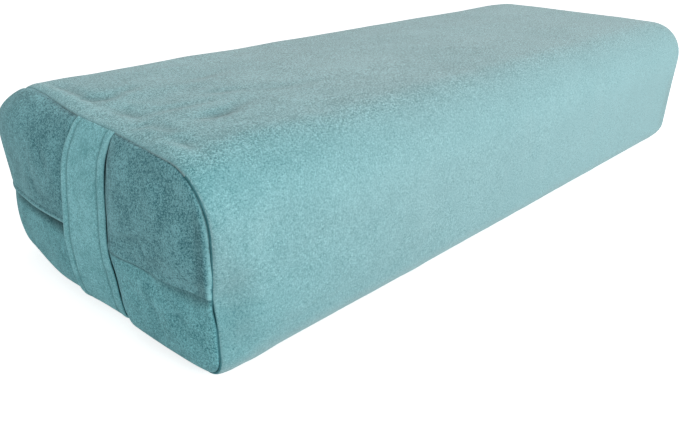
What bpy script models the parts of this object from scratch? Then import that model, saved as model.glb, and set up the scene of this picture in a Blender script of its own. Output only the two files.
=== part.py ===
"""Rectangular yoga bolster: a firm stuffed cushion in a removable suede cover.

The cover is one wrap round the top, sides and floor side, closed by a crowned panel at each end.
The near end panel is cut in two for a zip that hides behind the upper half's placket, and a flat
strap handle crosses it. Inside lie a sewn liner, a layer of wadding and a foam core.

Frame: +X along the length, +Z up, the origin on the floor under the middle. The handle and the
zip are at the -X end.
"""
import math

import bmesh
import bpy
from mathutils import Vector

# The cushion's outer form
LENGTH = 0.706
WIDTH = 0.288
EDGE_HEIGHT = 0.149
TOP_CROWN = 0.003
TOP_RADIUS = 0.042
FLOOR_RADIUS = 0.023
FLOOR_CUT = 0.0005
END_DRAW = 0.0035
DRAW_LENGTH = 0.026
SHOULDER_LENGTH = 0.008

# The crowned ends, fuller towards +Y
END_CROWN = 0.0205
FAR_CROWN = 0.0245
CROWN_HEIGHT = 0.052
LEAN_SHARE = 0.55
END_LIFT_SHARE = 0.4

# Fabrics, paddings and the play between layers
COVER_FABRIC = 0.0015
LINER_FABRIC = 0.0008
WADDING = 0.012
LAYER_GAP = 0.0004
CORE_GAP = 0.003
SEAM_ALLOWANCE = 0.010
LINER_GAP = 0.0011
INNER_GAP = 0.0007
LINER_SETBACK = 0.0035
LINER_NECK = 0.007
LINER_SHOULDER = 0.005
LINER_SUPPORT = 0.006
FILL_SETBACK = 0.010
WADDING_END_SETBACK = 0.005

# The strap handle
STRAP_WIDTH = 0.050
STRAP_FABRIC = 0.0022
STRAP_CENTRE = -0.010
STRAP_STAND = 0.0025
STRAP_SEAT = 0.0005
STRAP_TILT_SHARE = 0.11
HOLLOW_DEPTH = 0.003
HOLLOW_HALF_WIDTH = 0.034
SEWN_ANGLE = math.radians(55)
STRAP_END_ANGLE = math.radians(90)

# The zip and its placket
ZIP_HEIGHT = 0.078
ZIP_SIDE_MARGIN = 0.0286
ZIP_OUT = 0.0067
ZIP_SLOPE = math.radians(3.6)
PLACKET_OVERLAP = 0.012
LAP_STEP = 0.0045
LAP_FADE = 0.014
LAP_GAP = 0.0006
COIL_RADIUS = 0.0011
COIL_SLIT = 0.0015
ZIP_PLAY = 0.0004
TAPE_FABRIC = 0.0008
TAPE_WIDTH = 0.0145
TAPE_FLAT = 0.005
TAPE_RISE = 0.0022
BED_DEPTH = 0.0042
BED_HALF_WIDTH = 0.024

# The slider and its pull
SLIDER_LENGTH = 0.010
SLIDER_HALF_WIDTH = 0.0044
PLATE = 0.001
RAIL = 0.0009
RAIL_SLIT = 0.0008
NECK = 0.0008
BAIL_LENGTH = 0.007
BAIL_WIDTH = 0.0016
BAIL_METAL = 0.0007
BAIL_WINDOW = 0.0019
PULL_LENGTH = 0.017
PULL_HALF_WIDTH = 0.003
PULL_METAL = 0.0012
PULL_EYE_LENGTH = 0.0052
PULL_EYE_HALF_WIDTH = 0.0013
STOP_LENGTH = 0.003
STOP_HEIGHT = 0.0011
BEVEL = 0.0002

# Shares of the sizes above that set where the cages have their lines
CORNER_SHARE = 1.146
ACROSS_POWER = 4.0
UP_POWER = 2.2
TOP_SHARES = (-0.95, 0.0, 0.95)
PLAIN_SHARES = (-0.95, 0.95)
TONGUE_SHARE = 0.84
NEAR_SHARES = (-1.0, -0.95, -TONGUE_SHARE, -0.46, -0.24, -0.07, 0.10, 0.34, 0.62, TONGUE_SHARE, 0.95, 1.0)
FAR_SHARES = (-1.0, -0.95, -0.75, -0.3, 0.3, 0.75, 0.95, 1.0)
LINER_SHARES = (-1.0, -0.95, -0.5, 0.5, 0.95, 1.0)
SIDE_SHARES = (0.30, 0.44, 0.62)
STRAP_SHARES = (-1.0, 0.0, 1.0)

TEAL = (0.30, 0.53, 0.56)
TEAL_STRAP = (0.28, 0.52, 0.55)
CREAM = (0.78, 0.75, 0.68)
WHITE = (0.86, 0.86, 0.84)
FOAM = (0.85, 0.80, 0.62)
TAPE_TEAL = (0.20, 0.38, 0.41)
STEEL = (0.55, 0.56, 0.57)

MIDDLE_HEIGHT = EDGE_HEIGHT / 2
HALF_LENGTH = LENGTH / 2
PLACKET_EDGE = ZIP_HEIGHT - PLACKET_OVERLAP
TONGUE_TOP = ZIP_HEIGHT - COIL_SLIT / 2 - 2 * COIL_RADIUS - RAIL - PLATE
PANEL_DEPTH = COVER_FABRIC + LAYER_GAP
ZIP_HALF_LENGTH = WIDTH / 2 - PANEL_DEPTH - END_DRAW - ZIP_SIDE_MARGIN
SLIDER_PARK = ZIP_HALF_LENGTH - STOP_LENGTH - SLIDER_LENGTH / 2 - 2 * ZIP_PLAY
SLEEVE_DEPTH = COVER_FABRIC + LINER_GAP
NECK_DEPTH = PANEL_DEPTH + COVER_FABRIC + 2 * LAYER_GAP
CAP_DEPTH = NECK_DEPTH + LINER_FABRIC + INNER_GAP
PAD_DEPTH = CAP_DEPTH + LINER_FABRIC + LAYER_GAP
WADDING_DEPTH = SLEEVE_DEPTH + LINER_FABRIC + INNER_GAP
CORE_DEPTH = WADDING_DEPTH + WADDING + CORE_GAP
SLEEVE_HALF_LENGTH = HALF_LENGTH - SEAM_ALLOWANCE - LINER_NECK - LINER_SHOULDER
FILL_HALF_LENGTH = SLEEVE_HALF_LENGTH - LINER_SUPPORT - FILL_SETBACK
SIDE_ENDS = (EDGE_HEIGHT * SIDE_SHARES[0], EDGE_HEIGHT * SIDE_SHARES[-1])


def collection(name):
    made = bpy.data.collections.new(name)
    bpy.context.scene.collection.children.link(made)
    return made


def material(name, colour, roughness, metallic=0.0):
    made = bpy.data.materials.new(name)
    made.use_nodes = True
    shader = made.node_tree.nodes["Principled BSDF"]
    shader.inputs["Base Color"].default_value = (*colour, 1.0)
    shader.inputs["Roughness"].default_value = roughness
    shader.inputs["Metallic"].default_value = metallic
    return made


def add_object(name, bm, finish, parent=None):
    """Turn a bmesh into a named object with a material of its own."""
    mesh = bpy.data.meshes.new(name)
    bm.to_mesh(mesh)
    bm.free()
    made = bpy.data.objects.new(name, mesh)
    made.data.materials.append(material(name, *finish))
    mesh.shade_smooth()
    parts.objects.link(made)
    made.parent = parent
    return made


def subdivide(made, levels=1):
    modifier = made.modifiers.new("Subdivision", "SUBSURF")
    modifier.levels = levels
    modifier.render_levels = levels


def thicken(made, thickness, offset=-1.0):
    modifier = made.modifiers.new("Solidify", "SOLIDIFY")
    modifier.thickness = thickness
    modifier.offset = offset
    modifier.use_even_offset = True


def bevel(made, width, segments=1):
    modifier = made.modifiers.new("Bevel", "BEVEL")
    modifier.width = width
    modifier.segments = segments
    modifier.limit_method = "ANGLE"


def draw_in(from_end):
    """How far the cover is drawn in at a distance from its end seam."""
    share = min(from_end / DRAW_LENGTH, 1.0)
    return END_DRAW * (1.0 - math.sqrt(1.0 - (1.0 - share) ** 2))


def lift(y, z, share):
    """How much the crowned top rises over its edge's height."""
    up = max(z - MIDDLE_HEIGHT, 0.0) / MIDDLE_HEIGHT
    return TOP_CROWN * share * up ** 2 * (1.0 - (2.0 * y / WIDTH) ** 2)


def section_rows(depth, heights=()):
    """Rows of a cross-section that lies depth inside the plain form, as (height, half width)."""
    side = WIDTH / 2 - depth
    low = depth - FLOOR_CUT
    high = EDGE_HEIGHT - depth
    floor_radius = FLOOR_RADIUS - depth
    top_radius = TOP_RADIUS - depth
    corner = CORNER_SHARE * math.sin(math.pi / 4)
    rows = [(low, side - floor_radius),
            (low + floor_radius * (1.0 - corner), side - floor_radius * (1.0 - corner)),
            (low + floor_radius, side)]
    rows += [(height, side) for height in heights]
    rows += [(high - top_radius, side),
             (high - top_radius * (1.0 - corner), side - top_radius * (1.0 - corner)),
             (high, side - top_radius)]
    return rows


def ring(x, depth, crown_share, top_shares, heights):
    """One closed loop of cage points round the body at x."""
    rows = section_rows(depth, heights)
    outline = [(half, height) for height, half in rows]
    outline += [(share * rows[-1][1], rows[-1][0]) for share in reversed(top_shares)]
    outline += [(-half, height) for height, half in reversed(rows)]
    outline += [(share * rows[0][1], rows[0][0]) for share in PLAIN_SHARES]
    return [Vector((x, y, z + lift(y, z, crown_share))) for y, z in outline]


def tube(stations, top_shares, heights=()):
    """A cage tube through rings at stations of (x, depth, crown share), facing out."""
    bm = bmesh.new()
    loops = [[bm.verts.new(point) for point in ring(x, depth, share, top_shares, heights)]
             for x, depth, share in stations]
    for first, second in zip(loops, loops[1:]):
        for i, corner in enumerate(first):
            j = (i + 1) % len(first)
            bm.faces.new((corner, first[j], second[j], second[i]))
    bmesh.ops.recalc_face_normals(bm, faces=bm.faces)
    return bm


def mirrored(stations):
    """Stations for the +X half, and the same for the -X half before them."""
    return [(-x, depth, share) for x, depth, share in reversed(stations)] + list(stations)


def crown(y, z, depth):
    """How full an end that lies depth inside the plain form is, as a share from rim to middle."""
    low = depth - FLOOR_CUT
    high = EDGE_HEIGHT - depth
    across = min(abs(y) / half_width(z, depth), 1.0)
    up = (z - CROWN_HEIGHT) / (high - CROWN_HEIGHT if z > CROWN_HEIGHT else CROWN_HEIGHT - low)
    return math.sqrt(1.0 - across ** ACROSS_POWER) * math.sqrt(max(1.0 - abs(up) ** UP_POWER, 0.0))


def half_width(z, depth):
    """The section's half width at a height, between the rows of its cage."""
    rows = section_rows(depth)
    for (low, narrow), (high, wide) in zip(rows, rows[1:]):
        if z <= high:
            share = max(z - low, 0.0) / (high - low)
            return narrow + (wide - narrow) * share
    return rows[-1][1]


def hollow(y, z, depth):
    """The dent in which the strap lies."""
    return HOLLOW_DEPTH * crown(STRAP_CENTRE, z, depth) * math.exp(-((y - STRAP_CENTRE) / HOLLOW_HALF_WIDTH) ** 2)


def zip_out(y):
    """How far the zip chain's straight line lies out of the seam's plane."""
    return ZIP_OUT + y * math.tan(ZIP_SLOPE)


def panel_out(y, z, depth):
    """How far the near end stands out of its seam's plane."""
    lean = 1.0 + LEAN_SHARE * y / (WIDTH / 2)
    return END_CROWN * lean * crown(y, z, depth) - hollow(y, z, depth)


def tongue_out(y, z, depth):
    """The lower panel, which steps back to pass behind the placket."""
    share = min(max((z - PLACKET_EDGE + LAP_FADE) / LAP_FADE, 0.0), 1.0)
    step = LAP_STEP * share ** 2 * (3.0 - 2.0 * share)
    return max(panel_out(y, z, depth) - step, 0.0)


def bed_out(y, z, depth):
    """The liner's end, with the bed in which the zip lies."""
    plain = panel_out(y, z, depth) - LINER_SETBACK
    bed = min(zip_out(y) - BED_DEPTH, plain)
    share = math.exp(-((z - ZIP_HEIGHT) / BED_HALF_WIDTH) ** 4)
    return plain + (bed - plain) * share * min(END_CROWN * crown(y, z, depth) / BED_DEPTH, 1.0)


def far_out(y, z, depth):
    return FAR_CROWN * crown(y, z, depth)


def liner_far_out(y, z, depth):
    return far_out(y, z, depth) - LINER_SETBACK


def end_grid(end, depth, rows, shares, out, lift_share=0.0):
    """Cage points of an end, as rows of points from the floor up."""
    grid = []
    for height, half in rows:
        line = []
        for share in shares:
            y = share * half
            x = end * (HALF_LENGTH + out(y, height, depth))
            line.append(Vector((x, y, height + lift(y, height, lift_share))))
        grid.append(line)
    return grid


def end_cage(end, grid, skirts, open_top=False, open_floor=False, tongue=None):
    """A crowned end with a skirt that runs into the body, or a tongue that has none."""
    bm = bmesh.new()
    crease = bm.edges.layers.float.new("crease_edge")
    verts = [[bm.verts.new(point) for point in line] for line in grid]
    last = len(grid[0]) - 1
    for i in range(len(verts) - 1):
        inset = NEAR_SHARES.index(-TONGUE_SHARE) if tongue is not None and i >= tongue else 0
        for j in range(inset, last - inset):
            bm.faces.new((verts[i][j], verts[i][j + 1], verts[i + 1][j + 1], verts[i + 1][j]))
    top = len(verts) - 1 if tongue is None else tongue
    sides = [(verts[i][j], verts[i + 1][j]) for i in range(top) for j in (0, last)]
    if not open_floor:
        sides += [(verts[0][j], verts[0][j + 1]) for j in range(last)]
    if not open_top:
        sides += [(verts[-1][j], verts[-1][j + 1]) for j in range(last)]
    edges = [bm.edges.get(pair) for pair in sides]
    for edge in edges:
        edge[crease] = 0.8
    for skirt in skirts:
        grown = bmesh.ops.extrude_edge_only(bm, edges=edges)["geom"]
        moved = [item for item in grown if isinstance(item, bmesh.types.BMVert)]
        edges = [item for item in grown if isinstance(item, bmesh.types.BMEdge)]
        bmesh.ops.translate(bm, verts=moved, vec=(-end * skirt, 0.0, 0.0))
    bmesh.ops.delete(bm, geom=[v for v in bm.verts if not v.link_faces], context="VERTS")
    bmesh.ops.recalc_face_normals(bm, faces=bm.faces)
    return bm


def cut_floor(made):
    """Cut flat what stands on the floor."""
    bm = bmesh.new()
    bmesh.ops.create_cube(bm, size=1.0)
    mesh = bpy.data.meshes.new("floor_block")
    bm.to_mesh(mesh)
    bm.free()
    block = bpy.data.objects.new("floor_block", mesh)
    block.scale = (LENGTH + WIDTH, LENGTH, FLOOR_RADIUS)
    block.location = (0.0, 0.0, -FLOOR_RADIUS / 2)
    block.hide_render = True
    block.display_type = "WIRE"
    cutters.objects.link(block)
    modifier = made.modifiers.new("Floor", "BOOLEAN")
    modifier.operation = "DIFFERENCE"
    modifier.object = block


def face_out(bm, end):
    """Turn an open end's faces so that its middle faces out of the body."""
    tip = max(bm.faces, key=lambda face: end * face.calc_center_median().x)
    if tip.normal.x * end < 0.0:
        bmesh.ops.reverse_faces(bm, faces=bm.faces)
    return bm


def build_cover():
    shoulder = SHOULDER_LENGTH
    stations = [(HALF_LENGTH - DRAW_LENGTH, 0.0, 1.0),
                (HALF_LENGTH - shoulder, draw_in(shoulder), (1.0 + END_LIFT_SHARE) / 2),
                (HALF_LENGTH, END_DRAW, END_LIFT_SHARE)]
    heights = [share * EDGE_HEIGHT for share in SIDE_SHARES]
    wrap = add_object("cover_wrap", tube(mirrored(stations), TOP_SHARES, heights), (TEAL, 0.9))
    subdivide(wrap)
    thicken(wrap, COVER_FABRIC)
    cut_floor(wrap)

    depth = PANEL_DEPTH + END_DRAW
    far = end_grid(1, depth, section_rows(depth, heights), FAR_SHARES, far_out, END_LIFT_SHARE)
    panel = add_object("end_panel_far", face_out(end_cage(1, far, [SEAM_ALLOWANCE]), 1), (TEAL, 0.9))
    subdivide(panel)
    thicken(panel, COVER_FABRIC)

    rows = section_rows(depth)
    side = rows[2][1]
    upper_rows = [(PLACKET_EDGE, side), (ZIP_HEIGHT, side), (heights[-1], side)] + rows[3:]
    upper = end_grid(-1, depth, upper_rows, NEAR_SHARES, panel_out, END_LIFT_SHARE)
    panel = add_object("end_panel_near_upper",
                       face_out(end_cage(-1, upper, [SEAM_ALLOWANCE], open_floor=True), -1), (TEAL, 0.9))
    subdivide(panel)
    thicken(panel, COVER_FABRIC)

    lap = PLACKET_EDGE - LAP_GAP
    lower_rows = rows[:3] + [(heights[0], side), (lap - LAP_FADE / 2, side), (lap, side),
                             (TONGUE_TOP, side)]
    lower = end_grid(-1, depth, lower_rows, NEAR_SHARES, tongue_out, END_LIFT_SHARE)
    panel = add_object("end_panel_near_lower",
                       face_out(end_cage(-1, lower, [SEAM_ALLOWANCE], open_top=True,
                                         tongue=len(lower_rows) - 2), -1), (TEAL, 0.9))
    subdivide(panel)
    thicken(panel, COVER_FABRIC)


def bed_heights():
    """Rows of the near end's inner layers, close together over the zip's bed."""
    return (SIDE_ENDS[0], ZIP_HEIGHT - TAPE_WIDTH, ZIP_HEIGHT, SIDE_ENDS[1])


def build_liner():
    stations = [(SLEEVE_HALF_LENGTH - LINER_SUPPORT, SLEEVE_DEPTH, 1.0),
                (SLEEVE_HALF_LENGTH, SLEEVE_DEPTH, 1.0),
                (SLEEVE_HALF_LENGTH + LINER_SHOULDER, NECK_DEPTH + END_DRAW, 0.0),
                (HALF_LENGTH - LINER_SETBACK, NECK_DEPTH + END_DRAW, 0.0)]
    sleeve = add_object("liner_sleeve", tube(mirrored(stations), PLAIN_SHARES, SIDE_ENDS), (CREAM, 0.85))
    subdivide(sleeve)
    thicken(sleeve, LINER_FABRIC)

    depth = CAP_DEPTH + END_DRAW
    for name, end, out, levels in (("liner_end_near", -1, bed_out, bed_heights()),
                                   ("liner_end_far", 1, liner_far_out, SIDE_ENDS)):
        grid = end_grid(end, depth, section_rows(depth, levels), LINER_SHARES, out)
        cap = add_object(name, face_out(end_cage(end, grid, [SEAM_ALLOWANCE]), end), (CREAM, 0.85))
        subdivide(cap)
        thicken(cap, LINER_FABRIC)


def build_filling():
    stations = [(FILL_HALF_LENGTH, WADDING_DEPTH, 1.0)]
    wrap = add_object("wadding_wrap", tube(mirrored(stations), PLAIN_SHARES, SIDE_ENDS), (WHITE, 0.95))
    subdivide(wrap)
    thicken(wrap, WADDING)

    depth = PAD_DEPTH + END_DRAW
    for name, end, out, levels in (("wadding_end_near", -1, bed_out, bed_heights()),
                                   ("wadding_end_far", 1, liner_far_out, SIDE_ENDS)):
        grid = end_grid(end, depth, section_rows(depth, levels), LINER_SHARES, out)
        for line in grid:
            for point in line:
                point.x -= end * WADDING_END_SETBACK
        reach = HALF_LENGTH - FILL_HALF_LENGTH - LINER_SETBACK - WADDING_END_SETBACK - LAYER_GAP
        bm = face_out(end_cage(end, grid, [reach]), end)
        bmesh.ops.holes_fill(bm, edges=[edge for edge in bm.edges if edge.is_boundary])
        bmesh.ops.recalc_face_normals(bm, faces=bm.faces)
        subdivide(add_object(name, bm, (WHITE, 0.95)))

    size = Vector((2 * FILL_HALF_LENGTH, WIDTH - 2 * CORE_DEPTH, EDGE_HEIGHT - 2 * CORE_DEPTH))
    bm = bmesh.new()
    bmesh.ops.create_cube(bm, size=1.0)
    bmesh.ops.scale(bm, verts=bm.verts, vec=size)
    long_edges = [edge for edge in bm.edges if abs(edge.verts[0].co.x - edge.verts[1].co.x) > LAYER_GAP]
    bmesh.ops.bevel(bm, geom=long_edges, offset=TOP_RADIUS - CORE_DEPTH, segments=4, profile=0.5,
                    affect="EDGES")
    core = add_object("foam_core", bm, (FOAM, 0.9))
    core.location = (0.0, 0.0, MIDDLE_HEIGHT)


def strap_point(y, angle):
    """A point on the strap's inner face, at an angle up from its fullest height."""
    depth = PANEL_DEPTH + END_DRAW
    low = depth - FLOOR_CUT - STRAP_SEAT
    high = EDGE_HEIGHT - depth + lift(STRAP_CENTRE, EDGE_HEIGHT, END_LIFT_SHARE) + STRAP_SEAT
    fullest = panel_out(STRAP_CENTRE, CROWN_HEIGHT, depth) + STRAP_STAND
    reach = high - CROWN_HEIGHT if angle > 0 else CROWN_HEIGHT - low
    out = fullest * math.cos(angle) ** (2 / UP_POWER) + STRAP_SEAT
    out += STRAP_TILT_SHARE * (y - STRAP_CENTRE) * math.cos(angle)
    return Vector((-HALF_LENGTH - out, y, CROWN_HEIGHT + reach * math.sin(angle)))


def strap_piece(name, first, last, rows):
    bm = bmesh.new()
    lines = []
    for i in range(rows + 1):
        angle = first + (last - first) * i / rows
        lines.append([bm.verts.new(strap_point(STRAP_CENTRE + share * STRAP_WIDTH / 2, angle))
                      for share in STRAP_SHARES])
    for low, high in zip(lines, lines[1:]):
        for j in range(len(low) - 1):
            bm.faces.new((low[j], low[j + 1], high[j + 1], high[j]))
    bmesh.ops.recalc_face_normals(bm, faces=bm.faces)
    strap = add_object(name, face_out(bm, -1), (TEAL_STRAP, 0.9))
    subdivide(strap)
    thicken(strap, STRAP_FABRIC, offset=1.0)
    return strap


def build_handle():
    split = LAYER_GAP / END_CROWN / 2
    strap_piece("handle_strap", -SEWN_ANGLE + split, SEWN_ANGLE - split, 6)
    strap_piece("handle_end_top", SEWN_ANGLE, STRAP_END_ANGLE, 3)
    strap_piece("handle_end_bottom", -STRAP_END_ANGLE, -SEWN_ANGLE, 3)


def zip_frame():
    """An empty on the chain's line: its +Y runs along the chain and its -X points out."""
    frame = bpy.data.objects.new("zip_line", None)
    parts.objects.link(frame)
    frame.location = (-HALF_LENGTH - zip_out(0.0), 0.0, ZIP_HEIGHT)
    frame.rotation_euler = (0.0, 0.0, ZIP_SLOPE)
    return frame


def bar(outline, first, last):
    """A closed bar along Y with an outline of (x, z) points."""
    bm = bmesh.new()
    face = bm.faces.new([bm.verts.new((x, first, z)) for x, z in outline])
    grown = bmesh.ops.extrude_face_region(bm, geom=[face], use_keep_orig=True)["geom"]
    moved = [item for item in grown if isinstance(item, bmesh.types.BMVert)]
    bmesh.ops.translate(bm, verts=moved, vec=(0.0, last - first, 0.0))
    bmesh.ops.recalc_face_normals(bm, faces=bm.faces)
    return bm


def mirrored_bar(outline, first, last, side):
    return bar([(x, side * z) for x, z in outline], first, last)


def round_outline(radius, centre, sides=8):
    angles = [2 * math.pi * (i + 0.5) / sides for i in range(sides)]
    return [(radius * math.cos(angle), centre + radius * math.sin(angle)) for angle in angles]


def build_zip(frame):
    coil_outer = COIL_SLIT / 2 + 2 * COIL_RADIUS
    tape_inner = coil_outer + ZIP_PLAY
    stop_inner = -COIL_RADIUS - ZIP_PLAY
    half = TAPE_FABRIC / 2
    rise = {1: TAPE_RISE, -1: 0.0}
    for word, side in (("upper", 1), ("lower", -1)):
        coil = mirrored_bar(round_outline(COIL_RADIUS, COIL_SLIT / 2 + COIL_RADIUS),
                            -ZIP_HALF_LENGTH, ZIP_HALF_LENGTH, side)
        add_object("zip_coil_" + word, coil, (TAPE_TEAL, 0.5), frame)
        flat = tape_inner + TAPE_FLAT
        outline = [(half, tape_inner), (-half, tape_inner), (-half, flat),
                   (-half - rise[side], TAPE_WIDTH), (half - rise[side], TAPE_WIDTH), (half, flat)]
        add_object("zip_tape_" + word, mirrored_bar(outline, -ZIP_HALF_LENGTH, ZIP_HALF_LENGTH, side),
                   (TAPE_TEAL, 0.8), frame)
        stop = [(stop_inner, COIL_SLIT / 2), (stop_inner, coil_outer),
                (stop_inner - STOP_HEIGHT, coil_outer), (stop_inner - STOP_HEIGHT, COIL_SLIT / 2)]
        add_object("zip_stop_top_" + word,
                   mirrored_bar(stop, ZIP_HALF_LENGTH - STOP_LENGTH, ZIP_HALF_LENGTH, side),
                   (STEEL, 0.35, 1.0), frame)
    stop = [(stop_inner, -coil_outer), (stop_inner, coil_outer),
            (stop_inner - STOP_HEIGHT, coil_outer), (stop_inner - STOP_HEIGHT, -coil_outer)]
    add_object("zip_stop_bottom", bar(stop, -ZIP_HALF_LENGTH, -ZIP_HALF_LENGTH + STOP_LENGTH),
               (STEEL, 0.35, 1.0), frame)


def slider_outline():
    """The slider's section: two plates, the neck between the coils, and a rail at each edge."""
    inner = COIL_RADIUS + ZIP_PLAY
    outer = inner + PLATE
    rail = SLIDER_HALF_WIDTH - RAIL
    quarter = [(outer, SLIDER_HALF_WIDTH), (RAIL_SLIT, SLIDER_HALF_WIDTH), (RAIL_SLIT, rail),
               (inner, rail), (inner, NECK / 2)]
    back = [(x, z) for x, z in quarter]
    front = [(-x, z) for x, z in reversed(quarter)]
    under_front = [(-x, -z) for x, z in quarter]
    under_back = [(x, -z) for x, z in reversed(quarter)]
    return back + front + under_front + under_back


def plate_bar(outline, half):
    """A flat piece with an outline of (x, y) points, as thick as twice half along Z."""
    bm = bmesh.new()
    face = bm.faces.new([bm.verts.new((x, y, -half)) for x, y in outline])
    grown = bmesh.ops.extrude_face_region(bm, geom=[face], use_keep_orig=True)["geom"]
    moved = [item for item in grown if isinstance(item, bmesh.types.BMVert)]
    bmesh.ops.translate(bm, verts=moved, vec=(0.0, 0.0, 2 * half))
    bmesh.ops.recalc_face_normals(bm, faces=bm.faces)
    return bm


def join(made, bm, name):
    """Union a second closed shape into an object."""
    mesh = bpy.data.meshes.new(name)
    bm.to_mesh(mesh)
    bm.free()
    tool = bpy.data.objects.new(name, mesh)
    cutters.objects.link(tool)
    tool.hide_render = True
    tool.display_type = "WIRE"
    tool.parent = made
    modifier = made.modifiers.new(name, "BOOLEAN")
    modifier.operation = "UNION"
    modifier.object = tool


def build_slider(frame):
    outer = COIL_RADIUS + ZIP_PLAY + PLATE
    half = SLIDER_LENGTH / 2
    slider = add_object("zip_slider", bar(slider_outline(), -half, half), (STEEL, 0.35, 1.0), frame)
    slider.location = (0.0, SLIDER_PARK, 0.0)
    leg = BAIL_LENGTH / 2
    window = leg - BAIL_METAL
    root = -outer + PLATE / 2
    crest = -outer - BAIL_WINDOW
    bail = [(root, -leg), (crest - BAIL_METAL, -leg), (crest - BAIL_METAL, leg), (root, leg),
            (root, window), (crest, window), (crest, -window), (root, -window)]
    join(slider, plate_bar(bail, BAIL_WIDTH / 2), "bail_shape")

    pull_out = outer + BAIL_WINDOW / 2
    bm = bmesh.new()
    bar_half = PULL_METAL / 2
    eye_far = -bar_half - PULL_EYE_LENGTH
    outline = [(PULL_HALF_WIDTH, bar_half), (-PULL_HALF_WIDTH, bar_half),
               (-PULL_HALF_WIDTH, -PULL_LENGTH), (PULL_HALF_WIDTH, -PULL_LENGTH)]
    eye = [(PULL_EYE_HALF_WIDTH, -bar_half), (-PULL_EYE_HALF_WIDTH, -bar_half),
           (-PULL_EYE_HALF_WIDTH, eye_far), (PULL_EYE_HALF_WIDTH, eye_far)]
    rim = [bm.verts.new((-bar_half, y, z)) for z, y in outline]
    hole = [bm.verts.new((-bar_half, y, z)) for z, y in eye]
    for i in range(4):
        j = (i + 1) % 4
        bm.faces.new((rim[i], rim[j], hole[j], hole[i]))
    grown = bmesh.ops.extrude_face_region(bm, geom=bm.faces[:], use_keep_orig=True)["geom"]
    moved = [item for item in grown if isinstance(item, bmesh.types.BMVert)]
    bmesh.ops.translate(bm, verts=moved, vec=(PULL_METAL, 0.0, 0.0))
    bmesh.ops.recalc_face_normals(bm, faces=bm.faces)
    pull = add_object("zip_pull", bm, (STEEL, 0.35, 1.0), frame)
    pull.location = (-pull_out, SLIDER_PARK, 0.0)
    bevel(pull, BEVEL)


for old in list(bpy.data.objects):
    bpy.data.objects.remove(old, do_unlink=True)
parts = collection("rectangular_yoga_bolster")
cutters = collection("cutters")
build_cover()
build_liner()
build_filling()
build_handle()
zip_line = zip_frame()
build_zip(zip_line)
build_slider(zip_line)
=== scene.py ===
"""Rectangular yoga bolster: sewn suede-like cover, strap handle, placket over the zip."""
import math

import bmesh
import bpy
import numpy as np
from mathutils import Matrix, Vector, kdtree, noise


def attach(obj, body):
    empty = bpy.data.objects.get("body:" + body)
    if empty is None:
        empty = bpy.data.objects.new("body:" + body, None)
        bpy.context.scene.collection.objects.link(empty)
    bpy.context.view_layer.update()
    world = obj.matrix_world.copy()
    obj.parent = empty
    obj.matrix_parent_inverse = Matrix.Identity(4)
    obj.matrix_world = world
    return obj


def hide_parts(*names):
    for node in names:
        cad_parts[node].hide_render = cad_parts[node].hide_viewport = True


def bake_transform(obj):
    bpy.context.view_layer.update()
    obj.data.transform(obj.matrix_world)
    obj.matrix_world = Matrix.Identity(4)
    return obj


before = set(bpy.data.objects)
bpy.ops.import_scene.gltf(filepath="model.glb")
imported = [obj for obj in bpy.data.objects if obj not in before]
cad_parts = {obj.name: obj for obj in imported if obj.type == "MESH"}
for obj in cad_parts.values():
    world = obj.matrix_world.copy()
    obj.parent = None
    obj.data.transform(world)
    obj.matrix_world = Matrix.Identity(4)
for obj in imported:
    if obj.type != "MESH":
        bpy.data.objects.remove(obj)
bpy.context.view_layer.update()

MM = 0.001

# The outer form, as the solids have it
HALF_LENGTH = 0.353
HALF_WIDTH = 0.144
EDGE_HEIGHT = 0.149
TOP_CROWN = 0.003
TOP_RADIUS = 0.042
FLOOR_RADIUS = 0.023
END_DRAW = 0.0035
DRAW_LENGTH = 0.026
FAR_CROWN = 0.0245
CROWN_HEIGHT = 0.052
LAP_HEIGHT = 0.066
STRAP_Y = -0.010
STRAP_HALF = 0.025
CLOTH = 1.3 * MM
PANEL_INSET = END_DRAW + CLOTH

# The handle end is a little fuller than its solids: its crown, and how much more it stands out at +Y
END_CROWN = 0.0207
LEAN = 0.525

# How far from a seam its strip of painted shade, cloth without sheen, reaches
SEAM_STRIP = 0.51 * MM

# The camera that gives the photograph's outline
CAMERA_PLACE = (-0.5272, -0.4184, 0.2818)
CAMERA_YAW, CAMERA_PITCH, CAMERA_ROLL = 0.7859, 0.4519, 0.0113
CAMERA_FOCAL_PX = 640.65
IMAGE_WIDTH = 679


# The form

def arc(cy, cz, radius, first, last, count):
    """Points along an arc, from one angle to another in degrees."""
    a = np.radians(np.linspace(first, last, count))
    return np.column_stack([cy + radius * np.cos(a), cz + radius * np.sin(a)])


def resample(points, count):
    """Points evenly spaced along a polyline."""
    step = np.linalg.norm(np.diff(points, axis=0), axis=1)
    along = np.concatenate([[0.0], np.cumsum(step)])
    at = np.linspace(0.0, along[-1], count)
    return np.column_stack([np.interp(at, along, points[:, i]) for i in range(points.shape[1])])


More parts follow.
